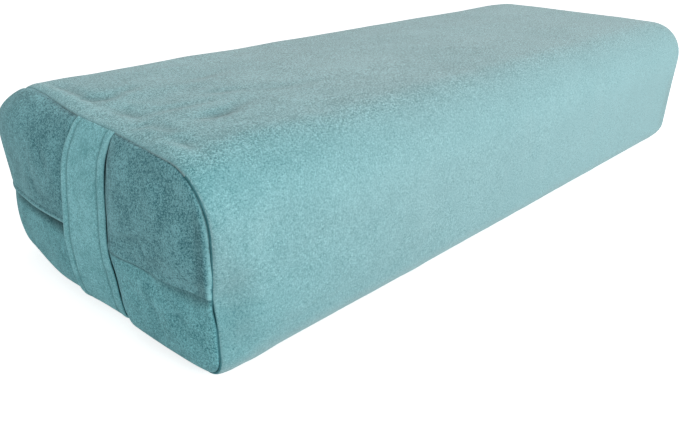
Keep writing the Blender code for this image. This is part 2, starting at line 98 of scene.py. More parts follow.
def section_curves(n_across, n_low, n_high):
    """The section's floor, +Y side, top and -Y side, each from low to high or from -Y to +Y."""
    wt, wf = HALF_WIDTH - TOP_RADIUS, HALF_WIDTH - FLOOR_RADIUS
    ht = EDGE_HEIGHT - TOP_RADIUS
    low = np.vstack([arc(-wf, FLOOR_RADIUS, FLOOR_RADIUS, 225, 180, 9), [[-HALF_WIDTH, LAP_HEIGHT]]])
    high = np.vstack([[[-HALF_WIDTH, LAP_HEIGHT]], arc(-wt, ht, TOP_RADIUS, 180, 135, 13)])
    side = np.vstack([resample(low, n_low + 1)[:-1], resample(high, n_high + 1)])
    top = np.vstack([arc(-wt, ht, TOP_RADIUS, 135, 90, 13), arc(wt, ht, TOP_RADIUS, 90, 45, 13)])
    floor = np.vstack([arc(-wf, FLOOR_RADIUS, FLOOR_RADIUS, 225, 270, 9),
                       arc(wf, FLOOR_RADIUS, FLOOR_RADIUS, 270, 315, 9)])
    return resample(floor, n_across + 1), side * (-1.0, 1.0), resample(top, n_across + 1), side


def ring_of(curves):
    """The loop along the floor, up +Y, back over the top and down -Y, each point once."""
    floor, other, top, side = curves
    return np.vstack([floor[:-1], other[:-1], top[::-1][:-1], side[::-1][:-1]])


def outward(ring):
    """The ring's normals, away from its middle."""
    d = np.roll(ring, -1, axis=0) - np.roll(ring, 1, axis=0)
    n = np.column_stack([d[:, 1], -d[:, 0]])
    return n / np.linalg.norm(n, axis=1)[:, None]


def draw_in(from_end):
    """How far the seam draws the wrap in, at a distance from the end."""
    share = np.clip(from_end / DRAW_LENGTH, 0.0, 1.0)
    return END_DRAW * (1.0 - np.sqrt(1.0 - (1.0 - share) ** 2))


def lift(y, z, share):
    """How far the crown of the top raises a point."""
    up = np.maximum(z - EDGE_HEIGHT / 2, 0.0) / (EDGE_HEIGHT / 2)
    return TOP_CROWN * share * up ** 2 * (1.0 - (y / HALF_WIDTH) ** 2)


def bump(x, centre, width):
    """1 at the centre, fading evenly to both sides."""
    return np.exp(-((x - centre) / width) ** 2)


def ease(x):
    """A smooth step from 0 to 1."""
    x = np.clip(x, 0.0, 1.0)
    return x * x * (3.0 - 2.0 * x)


def table(x, at, values):
    """A value read off a short table in millimetres."""
    return np.interp(x, np.array(at) * MM, np.array(values) * MM)


def half_width(z):
    """Half the width of the end panels at a height."""
    over = np.maximum(z - (EDGE_HEIGHT - TOP_RADIUS), 0.0)
    under = np.maximum(FLOOR_RADIUS - z, 0.0)
    top_arc = np.sqrt(np.maximum((TOP_RADIUS - PANEL_INSET) ** 2 - over ** 2, 0.0))
    low_arc = np.sqrt(np.maximum((FLOOR_RADIUS - PANEL_INSET) ** 2 - under ** 2, 0.0))
    return np.minimum(HALF_WIDTH - TOP_RADIUS + top_arc, HALF_WIDTH - FLOOR_RADIUS + low_arc)


def fullness(y, z, across_power=4.0, high_power=2.2, low_power=2.2):
    """1 at the crown of an end, falling to 0 at its seam, and squarer with larger powers."""
    across = np.minimum(np.abs(y) / half_width(z), 1.0)
    low, high = PANEL_INSET, EDGE_HEIGHT - PANEL_INSET
    over = z > CROWN_HEIGHT
    reach = np.where(over, high - CROWN_HEIGHT, CROWN_HEIGHT - low)
    up = np.minimum(np.abs(z - CROWN_HEIGHT) / reach, 1.0)
    return np.sqrt(1.0 - across ** across_power) * np.sqrt(1.0 - up ** np.where(over, high_power, low_power))


def near_out(y, z):
    """How far the handle end stands out of its seam, with the zip's valley and the strap's dent."""
    across_power = np.where(y > 0, 5.6, 3.7)
    high_power = np.interp(y, (-0.06, 0.02, 0.09), (2.4, 2.2, 8.0))
    low_power = np.interp(y, (0.05, 0.11), (8.5, 3.2))
    full = fullness(y, z, across_power, high_power, low_power)
    rise = 0.10 * ease((y - 0.03) / 0.06) * (z - LAP_HEIGHT) / 0.08
    rise = rise - 0.085 * ease((y - 0.05) / 0.05) * bump(z, 0.088, 0.030)
    out = END_CROWN * (1.0 + LEAN * y / HALF_WIDTH) * full * (1.0 + rise)
    strap_dent = np.where(y < STRAP_Y, 0.0012, 0.0045)
    out = out - strap_dent * full * bump(y, STRAP_Y, 0.030)
    valley = table(y, (-139, -133, -123, -107, -82, -65, -50, -33, 0, 26, 54, 83, 121, 139),
                   (0.5, 2.6, 3.0, 2.8, 3.6, 3.4, 2.0, 1.0, 1.0, 1.2, 2.6, 3.0, 1.5, 0.3))
    reach = np.where(z > LAP_HEIGHT, 0.017, 0.013)
    pull_room = 1.9 * MM * bump(y, -0.114, 0.021) * bump(z, 0.079, 0.011)
    return out - valley * full ** 0.5 * bump(z, LAP_HEIGHT, reach) + pull_room


def lap_step(y):
    """How far the lower panel lies behind the placket's edge."""
    return table(y, (-139, -110, -90, -72, -50, -30, 10, 40, 80, 115, 139),
                 (0.0, 0.1, 0.2, 0.3, 0.4, 0.4, 3.6, 4.6, 4.4, 2.8, 1.0))


def seam_depth(y, z):
    """1 where the near seam is a sharp valley, less low down and where the top runs smoothly over it."""
    on_top = ease((z - 0.110) / 0.02)
    along = np.interp(y, (-0.130, -0.110, -0.060, -0.040, 0.030, 0.080, 0.110),
                      (0.9, 0.4, 0.25, 0.4, 0.6, 0.3, 0.0))
    low = ease((0.060 - z) / 0.015)
    return (1.0 + (along - 1.0) * on_top) * (1.0 - 0.5 * low)


def seam_ridge(y, z):
    """1 beside the zip's side of the near seam, where the sewn edge stands up."""
    return np.where(y < 0, ease((z - 0.064) / 0.010) * ease((0.150 - z) / 0.030), 0.0)


def seam_wave(y, z):
    """How far back and how far up the top of the near seam lies, by the strap and the fuller corner."""
    on_top = ease((z - 0.125) / 0.015)
    back = table(y, (-100, -70, -30, -10, 0, 10, 30, 50, 70, 100, 115, 130),
                 (0.0, 1.0, 1.5, 0.5, 0.0, 0.0, 0.7, 1.8, 2.5, 2.5, 1.5, 0.0))
    up = table(y, (15, 30, 50, 70, 95, 110, 120), (0.0, 0.3, 1.2, 2.0, 2.2, 1.2, 0.0))
    return np.stack([back, up]) * on_top


def wobble(points, size, scale, seed):
    """Smooth uneven stuffing, as a height for each point."""
    shift = Vector((seed * 7.1, seed * 3.7, seed * 1.3))
    return np.array([noise.noise(Vector(p) / scale + shift) for p in points]) * size



# Soft creases: middle, direction, half length, half width, depth, in mm
TOP_CREASES = (
    ((-336, 58), (0.07, -1.0), 26, 4.0, 1.3),
    ((-329, 32), (0.73, -0.68), 12, 4.0, 1.3),
    ((-308, 30), (0.95, 0.32), 18, 4.5, 1.0),
    ((-331, -14), (0.14, -1.0), 17, 3.5, 1.3),
    ((-338, -46), (0.94, -0.34), 8, 3.0, 0.8),
    ((-331, -60), (0.1, -1.0), 13, 3.5, 1.1),
    ((-335, -91), (0.0, -1.0), 11, 3.5, 1.1),
    ((-299, -33), (0.98, -0.17), 22, 4.5, 1.0),
    ((-291, -63), (1.0, 0.05), 14, 5.0, 1.5),
    ((-269, -57), (0.93, 0.37), 20, 4.5, 1.1),
    ((-255, -21), (0.96, -0.26), 16, 5.0, 0.9),
    ((-345, 45), (0.05, -1.0), 55, 5.0, -0.8),
    ((-318, -4), (0.4, -0.9), 16, 6.0, -0.6),
    ((-343, -95), (0.1, -1.0), 16, 6.0, -0.8),
    ((-236, 30), (0.95, 0.25), 24, 6.0, 0.7),
    ((-205, -40), (0.9, -0.2), 26, 7.0, 0.6),
)
END_CREASES = (
    ((-62, 84), (1.0, -0.35), 22, 3.5, 0.9),
    ((-88, 74), (1.0, -0.45), 20, 4.0, 0.8),
    ((-100, 52), (1.0, 0.55), 26, 5.0, 0.9),
    ((-70, 44), (1.0, 0.25), 24, 5.0, 0.7),
    ((-112, 38), (0.9, 0.8), 20, 4.5, 0.8),
    ((-52, 28), (1.0, 0.1), 20, 5.0, 0.6),
    ((40, 108), (0.5, 1.0), 20, 5.0, 0.8),
    ((62, 96), (0.3, 1.0), 22, 5.5, 0.7),
    ((60, 46), (1.0, 0.3), 24, 5.5, 0.7),
    ((100, 42), (0.8, 0.7), 22, 5.0, 0.7),
)


def creases(u, v, rows):
    """The depth of a table's creases at points of a face."""
    total = np.zeros_like(u)
    for (cu, cv), (du, dv), length, width, depth in rows:
        size = math.hypot(du, dv)
        du, dv = du / size, dv / size
        a = (u - cu * MM) * du + (v - cv * MM) * dv
        b = -(u - cu * MM) * dv + (v - cv * MM) * du
        total += depth * MM * np.exp(-(a / (length * MM)) ** 2 - (b / (width * MM)) ** 2)
    return total


# The cloth settles on its filling

# The simulated cover's section (points across, up to the lap and above it) and loops, and up to what
# height the floor holds it
COARSE_SECTION, COARSE_LOOPS = (32, 6, 10), 81
FLOOR_HOLD = 3 * MM

# What drives the simulation, and how much of it is kept
SETTLE_FRAMES = 20
SETTLE_PRESSURE = 4.0
SMOOTH_PASSES = 16
RIPPLE_LIMIT = 2.0 * MM
RIPPLE_REACH = 0.007
RIPPLE_NEIGHBOURS = 7


def coarse_cover():
    """The closed cover as one even grid: points, faces, and which points its seams and the floor hold."""
    curves = section_curves(*COARSE_SECTION)
    ring = ring_of(curves)
    normals = outward(ring)
    points, number = [], {}

    def at(point):
        key = tuple(np.round(np.array(point) / MM, 2))
        if key not in number:
            number[key] = len(points)
            points.append(point)
        return number[key]

    loops = []
    for x in np.linspace(-HALF_LENGTH, HALF_LENGTH, COARSE_LOOPS):
        from_end = HALF_LENGTH - abs(x)
        inset = PANEL_INSET if from_end < 1e-6 else draw_in(from_end)
        loops.append([at((x, y, z)) for y, z in ring - normals * inset])
    faces = row_faces(loops, closed=True)
    plane = end_plane(curves)
    y, z = plane[..., 0], plane[..., 1]
    for sign, out in ((-1, near_out(y, z)), (1, FAR_CROWN * fullness(y, z))):
        out[[0, -1]] = 0.0
        out[:, [0, -1]] = 0.0
        rows = [[at((sign * (HALF_LENGTH + o), b, c)) for o, b, c in zip(*line)] for line in zip(out, y, z)]
        faces += row_faces(rows, flip=sign < 0)
    on_floor = {i for i, point in enumerate(points) if point[2] < FLOOR_HOLD}
    return points, faces, {*loops[0], *loops[-1], *on_floor}


def blow_up(points, faces, held):
    """Press the cover outward as cloth: how far each point moves, the normals, and the edges."""
    made = mesh_object("settling", points, faces)
    group = made.vertex_groups.new(name="held")
    group.add(sorted(held), 1.0, "REPLACE")
    modifier = made.modifiers.new("Cloth", "CLOTH")
    cloth = modifier.settings
    cloth.quality = 5
    cloth.mass = 0.3
    cloth.tension_stiffness = cloth.compression_stiffness = 60.0
    cloth.shear_stiffness = 20.0
    cloth.bending_stiffness = 0.5
    cloth.vertex_group_mass = "held"
    cloth.shrink_min = -0.02
    cloth.use_pressure = True
    cloth.uniform_pressure_force = SETTLE_PRESSURE
    cloth.effector_weights.gravity = 0.0
    modifier.point_cache.frame_start = 1
    modifier.point_cache.frame_end = SETTLE_FRAMES
    for number in range(1, SETTLE_FRAMES + 1):
        bpy.context.scene.frame_set(number)
    ready = made.evaluated_get(bpy.context.evaluated_depsgraph_get()).data
    after, normals = np.empty(len(points) * 3), np.empty(len(points) * 3)
    edges = np.empty(len(made.data.edges) * 2, int)
    ready.vertices.foreach_get("co", after)
    made.data.vertices.foreach_get("normal", normals)
    made.data.edges.foreach_get("vertices", edges)
    bpy.data.objects.remove(made)
    bpy.context.scene.frame_set(1)
    return after.reshape(-1, 3) - np.array(points), normals.reshape(-1, 3), edges.reshape(-1, 2)


def settle():
    """The sewn cover's points as a tree, and the ripple at each: its rise less the broad swelling."""
    points, faces, held = coarse_cover()
    count = len(points)
    move, normals, edges = blow_up(points, faces, held)
    rise = (move * normals).sum(1)
    one, two = edges.T
    number = np.bincount(one, minlength=count) + np.bincount(two, minlength=count)
    smooth = rise
    for _ in range(SMOOTH_PASSES):
        total = np.bincount(one, smooth[two], count) + np.bincount(two, smooth[one], count)
        smooth = 0.5 * smooth + 0.5 * total / number
    tree = kdtree.KDTree(count)
    for i, point in enumerate(points):
        tree.insert(point, i)
    tree.balance()
    return tree, RIPPLE_LIMIT * np.tanh((rise - smooth) / RIPPLE_LIMIT)


def settled(points):
    """The ripple of the settled cloth at each point, along its normal."""
    if SETTLED is None:
        return np.zeros(len(points))
    tree, ripple = SETTLED
    found = np.empty(len(points))
    for i, point in enumerate(points):
        near = tree.find_n(point, RIPPLE_NEIGHBOURS)
        share = [math.exp(-(d / RIPPLE_REACH) ** 2) + 1e-9 for _, _, d in near]
        found[i] = sum(w * ripple[k] for w, (_, k, _) in zip(share, near)) / sum(share)
    return found


# Meshes

def link(name, data):
    """An object in the scene for a mesh, a light or a camera."""
    made = bpy.data.objects.new(name, data)
    bpy.context.scene.collection.objects.link(made)
    return made


def mesh_object(name, points, faces):
    """An object with a smooth-shaded mesh of these points and faces."""
    mesh = bpy.data.meshes.new(name)
    mesh.from_pydata([tuple(p) for p in points], [], faces)
    mesh.update()
    mesh.shade_smooth()
    return link(name, mesh)


def row_faces(rows, closed=False, flip=False):
    """The four-sided faces between rows of point numbers, closed round or flipped over."""
    faces = []
    for one, two in zip(rows, rows[1:]):
        count = len(one)
        for i in range(count if closed else count - 1):
            j = (i + 1) % count
            face = (one[i], one[j], two[j], two[i])
            faces.append(face[::-1] if flip else face)
    return faces


def grid_object(name, grid, closed=False, flip=False):
    """An object for a grid of points."""
    rows, columns = grid.shape[:2]
    numbers = np.arange(rows * columns).reshape(rows, columns).tolist()
    return mesh_object(name, grid.reshape(-1, 3), row_faces(numbers, closed, flip))


def shade(made, values):
    """The painted shade at each point, in a seam or under an edge, or below 0, the painted highlight, kept in
    the attribute named closed.
    """
    layer = made.data.attributes.new("closed", "FLOAT", "POINT")
    layer.data.foreach_set("value", np.clip(values, -1.0, 1.0).astype(np.float32).reshape(-1))


def thicken(made, thickness):
    """Give a sheet its cloth thickness, on its inner side."""
    modifier = made.modifiers.new("Thickness", "SOLIDIFY")
    modifier.thickness = thickness
    modifier.offset = -1.0


# The wrap's section, and its loops next to its seams by their distance from them
WRAP_SECTION = (64, 15, 19)
NEAR_SEAM = np.array([0.0, 0.5, 1.1, 1.9, 2.9, 4.2, 6.0, 8.5, 11.5, 15.0, 19.0, 23.5]) * MM

# The step of its loops in the creased part, where that ends, and its loops from there to the far seam
CREASED_STEP, CREASED_END = 0.0045, -0.210
PLAIN_START, PLAIN_GAP, PLAIN_LOOPS = -0.207, 0.0275, 68


def wrap_stations():
    """Where the wrap's loops lie: close together by the seams, and looser beyond the creased part."""
    near = -HALF_LENGTH + NEAR_SEAM
    creased = np.arange(near[-1] + CREASED_STEP, CREASED_END, CREASED_STEP)
    plain = np.linspace(PLAIN_START, HALF_LENGTH - PLAIN_GAP, PLAIN_LOOPS)
    return np.concatenate([near, creased, plain, (-near)[::-1]])


def wrap_loop(x, ring, normals):
    """One loop of the wrap, drawn in and rolled over beside its seams."""
    from_end = HALF_LENGTH - abs(x)
    fall = table(from_end, (0.0, 0.5, 1.1, 1.9), (1.4, 0.35, 0.05, 0.0))
    rise = table(from_end, (0.0, 0.5, 1.1, 1.9, 2.9, 4.2, 6.0, 8.5), (0.0, 0.1, 0.3, 0.5, 0.5, 0.3, 0.1, 0.0))
    deep, ridge, pinch = 1.0, 0.25, 0.0
    if x < 0:
        y, z = ring.T
        deep, ridge = seam_depth(y, z), seam_ridge(y, z)
        pinch = 0.0026 * np.where(y < 0, bump(z, LAP_HEIGHT, 0.015), 0.0) * bump(from_end, 0.0, 0.016)
    inset = draw_in(from_end) + fall * deep - rise * (0.2 + 0.8 * ridge) + pinch
    y, z = (ring - normals * np.broadcast_to(inset, len(ring))[:, None]).T
    z = z + lift(y, z, 0.4 + 0.6 * ease(from_end / 0.05))
    return np.column_stack([np.full(len(y), x), y, z])


def wrap_shade(points, from_end, deep, dent):
    """The wrap's painted shade and, below 0, its painted highlight: shade in the seam, the creases and beside
    the near seam, low down and on the top towards the handle end; highlight on raised creases and along the
    top of the -Y side.
    """
    x, y, z = points.T
    near_side = np.where(y < 0, 1.0, 0.0)
    faint = (1.0 - 0.4 * ease((0.062 - z) / 0.02)) * (1.0 + wobble(points, 0.7, 0.005, 21))
    # painted shade: the dark line in the near seam's valley
    line = np.interp(from_end, (0.0, 0.2 * MM, 0.6 * MM), (0.7, 0.35, 0.0)) * deep * faint
    # painted shade, darker low down towards the handle end
    low_near_end_shade = 0.11 * ease((0.085 - z) / 0.07) * ease((-0.10 - x) / 0.15)
    # painted shade on the top towards the handle end, standing in for weaker sheen there
    toward_handle_end = 0.055 * ease((z - 0.12) / 0.02) * ease((-0.17 - x) / 0.12)
    # painted shade in a band beside the near seam on the -Y side
    seam_side_shade = 0.21 * bump(from_end, 0.014, 0.012) * bump(z, 0.060, 0.032) * near_side
    # painted highlight along the top of the -Y side
    side_highlight = 0.13 * bump(z, 0.108, 0.017) * ease(from_end / 0.02) * near_side
    # painted shade in the creases' valleys and painted highlight on their ridges
    return line + 0.17 * dent / MM + low_near_end_shade + toward_handle_end + seam_side_shade - side_highlight


def build_wrap():
    """The cloth round the top, both sides and the floor."""
    ring = ring_of(section_curves(*WRAP_SECTION))
    ring_normals = outward(ring)
    stations = wrap_stations()
    points = np.vstack([wrap_loop(x, ring, ring_normals) for x in stations])
    normals = np.tile(np.column_stack([np.zeros(len(ring)), ring_normals]), (len(stations), 1))
    x, y, z = points.T
    from_end = HALF_LENGTH - np.abs(x)
    free = ease(from_end / 0.03) * ease((z - 0.004) / 0.03)
    free *= 0.6 + 0.4 * ease((-0.05 - x) / 0.2)
    swell = wobble(points, 1.2 * MM, 0.085, 1) + wobble(points, 0.7 * MM, 0.038, 2)
    top_face = ease((normals[:, 2] - 0.3) / 0.5)
    dent = 1.7 * creases(x, y, TOP_CREASES) * top_face * ease(from_end / 0.008)
    calm = (0.25 + 0.45 * ease((-0.17 - x) / 0.12)) * (1.0 - 0.8 * ease((y - 0.075) / 0.03))
    points = points + normals * (swell * free - dent + settled(points) * calm)[:, None]
    x, y, z = points.T
    by_seam = np.where(x < 0, 1.0 - ease(from_end / 0.03), 0.0)
    points[:, [0, 2]] += (seam_wave(y, z) * by_seam).T
    points[:, 2] = np.maximum(points[:, 2], 0.0)
    made = grid_object("cover_body", points.reshape(len(stations), -1, 3), closed=True)
    deep = np.where(x < 0, seam_depth(y, z), 1.0)
    shade(made, wrap_shade(points, from_end, deep, dent))
    # the seam's strip of painted shade, where the seam is sharp or low down
    sharp = (deep > 0.6) | (z < 0.06)
    seam_faces(made, np.where(sharp, from_end, 1.0))
    thicken(made, CLOTH)
    return made


def end_plane(curves):
    """A grid over an end, rows from the floor up, that meets the drawn-in seam."""
    ring = ring_of(curves)
    moved = ring - outward(ring) * PANEL_INSET
    n, m = len(curves[0]) - 1, len(curves[1]) - 1
    floor = moved[:n + 1]
    other = moved[n:n + m + 1]
    top = moved[n + m:2 * n + m + 1][::-1]
    side = np.vstack([moved[2 * n + m:], moved[:1]])[::-1]
    u = np.linspace(0.0, 1.0, n + 1)[None, :, None]
    v = np.linspace(0.0, 1.0, m + 1)[:, None, None]
    edge = floor[None] * (1 - v) + top[None] * v + side[:, None] * (1 - u) + other[:, None] * u
    corners = (floor[0] * (1 - u) * (1 - v) + floor[-1] * u * (1 - v) + top[0] * (1 - u) * v
               + top[-1] * u * v)
    return edge - corners


def between(plane, rows, columns):
    """A grid read at fractional row and column numbers."""
    for axis, numbers in enumerate((rows, columns)):
        numbers = np.asarray(numbers, float)
        first = np.minimum(numbers.astype(int), plane.shape[axis] - 2)
        share = (numbers - first).reshape((1, -1, 1) if axis else (-1, 1, 1))
        plane = plane.take(first, axis) * (1 - share) + plane.take(first + 1, axis) * share
    return plane


RIM_STEPS = (0.0, 0.06, 0.15, 0.30, 0.55)


def with_rims(count):
    """Row or column numbers 0 to count, with extra ones by both rims."""
    return list(RIM_STEPS) + list(range(1, count)) + [count - s for s in RIM_STEPS][::-1]


def rim_distance(plane, rows):
    """Distance to the panel's seam: both side columns and the named rows."""
    y, z = plane[..., 0], plane[..., 1]
    near = np.minimum(np.abs(y - y[:, :1]), np.abs(y - y[:, -1:]))
    for row in rows:
        near = np.minimum(near, np.abs(z - z[row][None]))
    return near


def stand_out(plane, out, sign, rim, seed, rows=()):
    """Grid points at their distance from the seam's plane, with uneven stuffing and creases."""
    y, z = plane[..., 0], plane[..., 1]
    points = np.stack([sign * (HALF_LENGTH + out), y, z + lift(y, z, 0.4)], -1)
    flat = points.reshape(-1, 3)
    free = ease(rim.reshape(-1) / 0.02)
    across = flat * (0, 1, 1)
    swell = wobble(across, 1.0 * MM, 0.05, seed) + wobble(across, 0.6 * MM, 0.024, seed + 1)
    flat[:, 0] += sign * (swell - creases(flat[:, 1], flat[:, 2], rows) + settled(flat)) * free
    return flat.reshape(points.shape)


def seam_roll(rim, deep, turned):
    """The panel's edge falls into the seam, and where it is turned it does so in a round roll."""
    fall = table(rim, (0.0, 0.5, 1.2), (-0.8, -0.3, 0.0)) * deep
    return fall - 1.8 * MM * turned * np.maximum(1.0 - rim / (2.6 * MM), 0.0) ** 2


def rim_shade(rim, deep):
    """The painted shade in the seam at a panel's rim."""
    return np.interp(rim, (0.0, 0.25 * MM, 0.6 * MM), (0.75, 0.4, 0.0)) * deep


def seam_faces(made, rim):
    """The faces in the strip along the seam take the second material, which has no sheen: painted shade in
    the seam.
    """
    inside = (rim < SEAM_STRIP).reshape(-1)
    for face in made.data.polygons:
        if all(inside[i] for i in face.vertices):
            face.material_index = 1


def marked(dark, pale):
    """One value from painted shade and a painted highlight: the stronger one, and the highlight below 0."""
    return np.where(dark > np.maximum(pale, 0.02), dark, -pale)


def panel(name, points, closed, seam=None, flip=True):
    """An end panel: the mesh of a grid of points, with its painted shade and highlight, its seam and its
    cloth's thickness.
    """
    made = grid_object(name, points, flip=flip)
    shade(made, closed)
    if seam is not None:
        seam_faces(made, seam)
    thicken(made, CLOTH)
    return made


# The far end's grid, and the seeds of both ends' uneven stuffing
FAR_COLUMNS, FAR_LOW, FAR_HIGH = 60, 14, 16
FAR_STUFFING, NEAR_STUFFING = 5, 3


def build_far_end():
    """The plain far end."""
    plane = end_plane(section_curves(FAR_COLUMNS, FAR_LOW, FAR_HIGH))
    plane = between(plane, with_rims(FAR_LOW + FAR_HIGH), with_rims(FAR_COLUMNS))
    rim = rim_distance(plane, (0, -1))
    out = FAR_CROWN * fullness(plane[..., 0], plane[..., 1]) + seam_roll(rim, 1.0, 0.4)
    points = stand_out(plane, out, 1, rim, FAR_STUFFING)
    # painted shade in the seam at the rim
    return panel("cover_end_far", points, rim_shade(rim, 1.0), flip=False)


def straighten(plane, lap):
    """Bring one row of a grid level with the lap, and what lies beside it along."""
    rows = plane.shape[0] - 1
    r = np.arange(rows + 1)
    share = np.where(r < lap, r / lap, (rows - r) / (rows - lap))
    made = plane.copy()
    made[..., 1] += (LAP_HEIGHT - plane[lap, :, 1])[None] * share[:, None]
    return made


def lap_rise(y):
    """How far the placket's edge curves up towards the fuller side."""
    return 3.0 * MM * ease((y - 0.04) / 0.07) * ease((0.139 - y) / 0.01)


def turned_rim(y, z):
    """1 where the panel's edge stands up in a round roll beside the zip's side of the seam."""
    return np.where(y < 0, ease((z - 0.056) / 0.014) * ease((0.142 - z) / 0.030), 0.0)


def beside_strap(y):
    """Distance from the strap's nearer edge, and 0 behind the strap."""
    return np.maximum(np.abs(y - STRAP_Y) - STRAP_HALF, 0.0)


def behind_strap(y):
    """The painted shade where the strap covers the end, reaching just beyond its edges."""
    edge = (STRAP_HALF - 0.5 * MM, STRAP_HALF + 1.0 * MM)
    return np.interp(np.abs(y - STRAP_Y), edge, (0.8, 0.0))


# How far the bed lies behind the strap's outer face, and how softly it runs out into the end
BED_DEPTH = 2.3 * MM
BED_BLEND = 2 * MM


def under_strap(out, y, z):
    """The end's surface pushed in behind the strap, with the sides of the bed beside it."""
    share = np.clip((y - STRAP_Y + STRAP_HALF) / (2 * STRAP_HALF), 0.0, 1.0)
    faces = []
    for points in (STRAP_RIGHT, STRAP_LEFT):
        line = strap_side(points)[::-1]
        faces.append(np.interp(z, line[:, 1], line[:, 0]))
    face = faces[0] * (1 - share) + faces[1] * share
    aside = beside_strap(y)
    proud = np.where(y < STRAP_Y, table(z, (20, 45, 70, 120), (2.2, 1.8, 1.5, 1.5)), 1.6 * MM)
    slope = np.where(y < STRAP_Y, 0.28, 0.8)
    bed = face - BED_DEPTH + (BED_DEPTH - proud) * np.minimum(aside / MM, 1.0) + aside * slope
    share = np.clip(0.5 + 0.5 * (bed - out) / BED_BLEND, 0.0, 1.0)
    return bed * (1 - share) + out * share - BED_BLEND * share * (1 - share)


# The handle end's grid: columns, rows up to the lap and rows above it
NEAR_COLUMNS, NEAR_LOW, NEAR_HIGH = 88, 14, 18

# The rows next to the lap, above and below it, in rows from it
PLACKET_ROWS = (0.0, 0.06, 0.14, 0.24, 0.36, 0.5, 0.7, 0.9, 1.15, 1.45)
LOWER_ROWS = (1.0, 0.8, 0.6, 0.45, 0.3, 0.2, 0.1, 0.0)

# The height of the hem's groove over the placket's edge
HEM_HEIGHT = 3.8 * MM

# The tongue's rows: how far each lies above the lap in mm, and its share of the way behind the placket
TONGUE = ((0.8, 0.45), (1.8, 0.85), (3.2, 1.0), (6.0, 1.0))


def near_grid():
    """The handle end's grid with one row along the lap, and its columns, closer together by the strap."""
    plane = straighten(end_plane(section_curves(NEAR_COLUMNS, NEAR_LOW, NEAR_HIGH)), NEAR_LOW)
    y, z = plane[..., 0], plane[..., 1]
    plane[..., 0] = y + 2.2 * MM * bump(z, LAP_HEIGHT, 0.011) * ease((-y - 0.11) / 0.03)
    right_edge, left_edge = np.arange(31.0, 34.5, 0.25), np.arange(47.5, 50.5, 0.5)
    return plane, sorted({*with_rims(NEAR_COLUMNS), *right_edge, *left_edge})


def placket_edge(out, y, above, loose):
    """The placket's edge stands proud of the lower panel, rolls under, and has a hem above."""
    proud = table(y, (-139, -90, -55, 10, 60, 110, 139), (0.0, 0.0, 0.6, 1.6, 2.0, 1.6, 0.0))
    out = out + proud * np.interp(above, (0.0, 2 * MM, 6 * MM, 14 * MM), (1.0, 1.0, 0.35, 0.0))
    out = out - 1.0 * MM * loose * np.interp(above, (0.0, 0.4 * MM, 1.0 * MM, 1.8 * MM), (1.0, 0.4, 0.1, 0.0))
    return out - table(y, (0, 30, 139), (0.0, 0.8, 0.8)) * bump(above, HEM_HEIGHT, 1.3 * MM)


def upper_shade(y, z, rim, above, loose, broken):
    """The upper panel's painted shade and, below 0, its painted highlight."""
    turned = turned_rim(y, z)
    # painted highlight along the rolled rim
    rolled = 1.1 * turned * bump(rim, 0.8 * MM, 0.6 * MM) * broken
    # painted highlight along the placket's lower edge
    edge = 0.7 * bump(above, 1.6 * MM, 0.9 * MM) * ease((y - 0.01) / 0.02) * ease((0.12 - y) / 0.05)
    # painted light: the two highlights, and the panel lighter towards +Y
    pale = np.maximum.reduce([rolled, edge, 0.16 * ease((y - 0.03) / 0.06)])
    # painted shade in the hem's groove
    hem = 0.35 * bump(above, HEM_HEIGHT, 1.2 * MM) * ease(y / 0.03)
    # painted shade under the placket's loose edge
    under = np.interp(above, (0.0, 0.7 * MM), (0.8, 0.0)) * loose
    # painted shade beside the rolled rim
    beside = 0.38 * turned * ease((rim - 2.2 * MM) / 0.0012) * ease((0.012 - rim) / 0.006)
    shadow = np.where(y < STRAP_Y, 0.30, 0.22) * bump(beside_strap(y), 0.0, 6.5 * MM)
    shadow = shadow * ease((0.143 - z) / 0.01)
    seam = rim_shade(rim, seam_depth(y, z))
    dark = np.maximum.reduce([seam, behind_strap(y), hem, under, beside, shadow])
    # painted shade in the end's creases
    return marked(dark, pale) + 0.16 * creases(y, z, END_CREASES) / MM


def build_upper_end(plane, columns):
    """The upper half of the handle end, down to the placket's edge over the zip."""
    top = NEAR_LOW + NEAR_HIGH
    rows = [NEAR_LOW + r for r in PLACKET_ROWS] + list(np.arange(NEAR_LOW + 2, top - 0.5, 0.5))
    upper = between(plane, rows + [top - s for s in RIM_STEPS][::-1], columns)
    y, z = upper[..., 0], upper[..., 1]
    rim = rim_distance(upper, (-1,))
    above = z - z[0][None]
    loose = np.interp(y, (-0.139, -0.085, -0.055, -0.03, 0.01, 0.12, 0.139),
                      (0.1, 0.15, 0.4, 0.4, 1.0, 1.0, 0.3))
    out = near_out(y, z) + seam_roll(rim, seam_depth(y, z), turned_rim(y, z))
    out = under_strap(placket_edge(out, y, above, loose), y, z)
    points = stand_out(upper, out, -1, rim, NEAR_STUFFING, END_CREASES)
    bulge = 0.55 + 0.45 * ease(out / 0.004)
    points[..., 2] += 2.4 * MM * ease((y - 0.04) / 0.05) * ease((z - 0.105) / 0.03) * bulge
    points[..., 2] += lap_rise(y) * np.maximum(1.0 - above / 0.03, 0.0)
    back, up = seam_wave(y, z) * (1.0 - ease(rim / 0.03))
    points[..., 0] += back
    points[..., 2] += up
    broken = 1.0 + wobble(points.reshape(-1, 3), 0.9, 0.006, 23).reshape(rim.shape)
    # the upper panel's painted shade and highlight
    closed = upper_shade(y, z, rim, above, loose, broken)
    return panel("cover_end_upper", points, closed, np.where(seam_depth(y, z) > 0.62, rim, 1.0))


